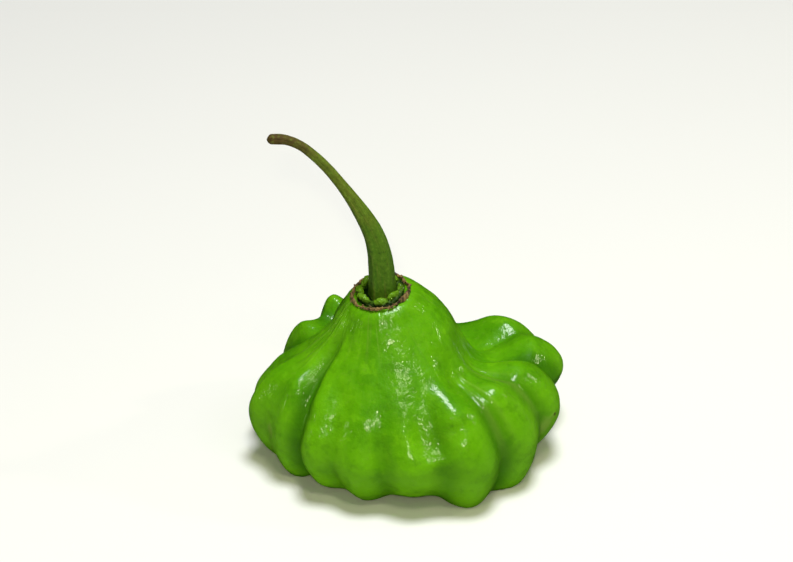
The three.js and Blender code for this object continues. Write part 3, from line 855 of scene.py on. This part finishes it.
def stem_points(sizes, middle):
    """The stem's centre line in metres and its radius, closely spaced, with its foot and its knob."""
    stations = np.array(STEM_LINE)
    knots = np.concatenate([[0], np.cumsum(np.linalg.norm(np.diff(stations[:, :3], axis=0), axis=1) ** 0.5)])
    padded = np.concatenate([2 * stations[:1] - stations[1:2], stations, 2 * stations[-1:] - stations[-2:-1]])
    spaced = np.concatenate([[knots[0] - (knots[1] - knots[0])], knots, [knots[-1] + knots[-1] - knots[-2]]])
    t = np.linspace(0, 1, 121)
    place = t * (len(stations) - 1)
    k = np.minimum(place.astype(int), len(stations) - 2)
    s = knots[k] + (place - k) * (knots[k + 1] - knots[k])
    p, q = [padded[k + n] for n in range(4)], [spaced[k + n] for n in range(4)]

    def between(a, b, low, high):
        w = ((s - low) / (high - low))[:, None]
        return a * (1 - w) + b * w

    first = between(p[0], p[1], q[0], q[1]), between(p[1], p[2], q[1], q[2]), between(p[2], p[3], q[2], q[3])
    second = between(first[0], first[1], q[0], q[2]), between(first[1], first[2], q[1], q[3])
    line = between(second[0], second[1], q[1], q[2])
    # A slight knob before the cut end, the flare of the foot and the rounded end
    thick = line[:, 3] + 0.08 * smooth((t - 0.90) / 0.06) * np.sqrt(np.clip(1 - ((t - 0.93) / 0.09) ** 2, 0, 1))
    thick += sizes.foot / MM * np.exp(-line[:, 2] / 1.3)
    thick[-1] *= 0.8
    end = line[-1, :3] - line[-2, :3]
    end /= np.linalg.norm(end)
    points = np.concatenate([line[:, :3], [line[-1, :3] + end * out for out, _ in STEM_END]])
    thick = np.concatenate([thick, [line[-1, 3] * part for _, part in STEM_END]])
    return points * MM + np.array(middle), thick * MM


class PEPPER_OT_stem(bpy.types.Operator):
    """Builds the bent stem"""

    bl_idname = "pepper.stem"
    bl_label = "Stem"

    def execute(self, context):
        sizes = context.scene.pepper_stem
        middle, _ = seat_frame(context.scene.pepper_fruit)
        points, thick = stem_points(sizes, middle)
        stem = mesh_object("bent_stem", points.tolist(), [], [(k, k + 1) for k in range(len(points) - 1)])
        keep(stem.data, "thick", "FLOAT", thick)
        grown(stem, stem_tree(), {"Flutes": sizes.flutes, "Flute depth": sizes.flute_depth,
                                  "Unevenness": sizes.roughness, "Seed": sizes.seed,
                                  "Material": stem_finish(context.scene.pepper_skin)})
        place(stem, "stem", "stem_skin")
        return {"FINISHED"}


def add_light(name, azimuth, elevation, distance, size, power, tint):
    """A soft round light that looks at the pepper from that side and height, in degrees."""
    lamp = bpy.data.lights.new(name, "AREA")
    lamp.shape, lamp.size, lamp.energy, lamp.color = "DISK", size, power, tint
    made = bpy.data.objects.new(name, lamp)
    bpy.context.scene.collection.objects.link(made)
    a, b = math.radians(azimuth), math.radians(elevation)
    away = Vector((math.sin(a) * math.cos(b), -math.cos(a) * math.cos(b), math.sin(b)))
    made.location = Vector((0, 0, 0.015)) + away * distance
    made.rotation_mode = "QUATERNION"
    made.rotation_quaternion = away.to_track_quat("Z", "Y")


def add_floor(settings):
    """The pale surface under the pepper."""
    floor = mesh_object("floor", [(-2, -2, 0), (2, -2, 0), (2, 2, 0), (-2, 2, 0)], [(0, 1, 2, 3)])
    made, g, shader, where = finish_of("pale_surface")
    tone = g.mix(g.noise(where, 9.0, 2.0), settings.floor, [c * 0.97 for c in settings.floor])
    g.tree.links.new(tone, shader.inputs["Base Color"])
    shader.inputs["Roughness"].default_value = 0.7
    floor.data.materials.append(made)
    floor.visible_glossy = False


def add_room(scene, settings):
    """The soft light from all round, weaker from low down and in the skin's gloss."""
    world = bpy.data.worlds.new("soft_room")
    world.use_nodes = True
    room = Graph(world.node_tree)
    shine = room.node("ShaderNodeLightPath").outputs["Is Glossy Ray"]
    sky = room.node("ShaderNodeTexCoord").outputs["Generated"]
    way = room.node("ShaderNodeSeparateXYZ", {0: sky}).outputs[2]
    height = room.fit(way, -0.1, 0.9, settings.room * 0.35, settings.room)
    strength = room.sum("MULTIPLY", height, room.fit(shine, 0.0, 1.0, 1.0, 0.10))
    background = world.node_tree.nodes["Background"]
    background.inputs["Color"].default_value = (1, 1, 1, 1)
    room.tree.links.new(strength, background.inputs["Strength"])
    scene.world = world


def add_camera(scene, settings):
    """The camera, in front of the pepper and above it."""
    lens = bpy.data.cameras.new("camera")
    lens.lens, lens.sensor_width = settings.lens, 36
    camera = bpy.data.objects.new("camera", lens)
    scene.collection.objects.link(camera)
    back = Vector((0, -math.cos(settings.elevation), math.sin(settings.elevation)))
    aim = Vector(settings.aim) - Vector((*MIDDLE, 0)) * MM
    camera.location = aim + back * settings.distance
    camera.rotation_mode = "QUATERNION"
    camera.rotation_quaternion = back.to_track_quat("Z", "Y")
    scene.camera = camera


class PEPPER_OT_studio(bpy.types.Operator):
    """Sets up the floor, the lights and the camera"""

    bl_idname = "pepper.studio"
    bl_label = "Studio"

    def execute(self, context):
        scene, settings = context.scene, context.scene.pepper_studio
        add_floor(settings)
        for name, values in LIGHTS.items():
            add_light(name, *values)
        add_room(scene, settings)
        add_camera(scene, settings)
        scene.view_settings.view_transform = "Standard"
        return {"FINISHED"}


class PEPPER_PT_parts(bpy.types.Panel):
    """Lists the pepper's parts and their sizes"""

    bl_idname = "PEPPER_PT_parts"
    bl_label = "Bonnet pepper"
    bl_space_type = "VIEW_3D"
    bl_region_type = "UI"
    bl_category = "Pepper"

    def draw(self, context):
        for operator, group in STEPS:
            box = self.layout.box()
            box.operator(operator.bl_idname)
            settings = getattr(context.scene, group)
            for key in settings.__annotations__:
                box.prop(settings, key)
        colours = context.scene.pepper_skin
        box = self.layout.box()
        for key in colours.__annotations__:
            box.prop(colours, key)


STEPS = [
    (PEPPER_OT_studio, "pepper_studio"),
    (PEPPER_OT_fruit, "pepper_fruit"),
    (PEPPER_OT_calyx_rim, "pepper_calyx"),
    (PEPPER_OT_calyx_collar, "pepper_calyx"),
    (PEPPER_OT_stem, "pepper_stem"),
]


def register():
    """Registers the settings, the operators and the panel."""
    for name, group in GROUPS.items():
        bpy.utils.register_class(group)
        setattr(bpy.types.Scene, name, PointerProperty(type=group))
    for operator, _ in STEPS:
        bpy.utils.register_class(operator)
    bpy.utils.register_class(PEPPER_PT_parts)


def unregister():
    """Takes them all out again."""
    bpy.utils.unregister_class(PEPPER_PT_parts)
    for operator, _ in reversed(STEPS):
        bpy.utils.unregister_class(operator)
    for name, group in GROUPS.items():
        delattr(bpy.types.Scene, name)
        bpy.utils.unregister_class(group)


def main():
    """Builds the whole scene."""
    register()
    bpy.ops.pepper.studio()
    bpy.ops.pepper.fruit()
    bpy.ops.pepper.calyx_rim()
    bpy.ops.pepper.calyx_collar()
    bpy.ops.pepper.stem()


if __name__ == "__main__":
    main()
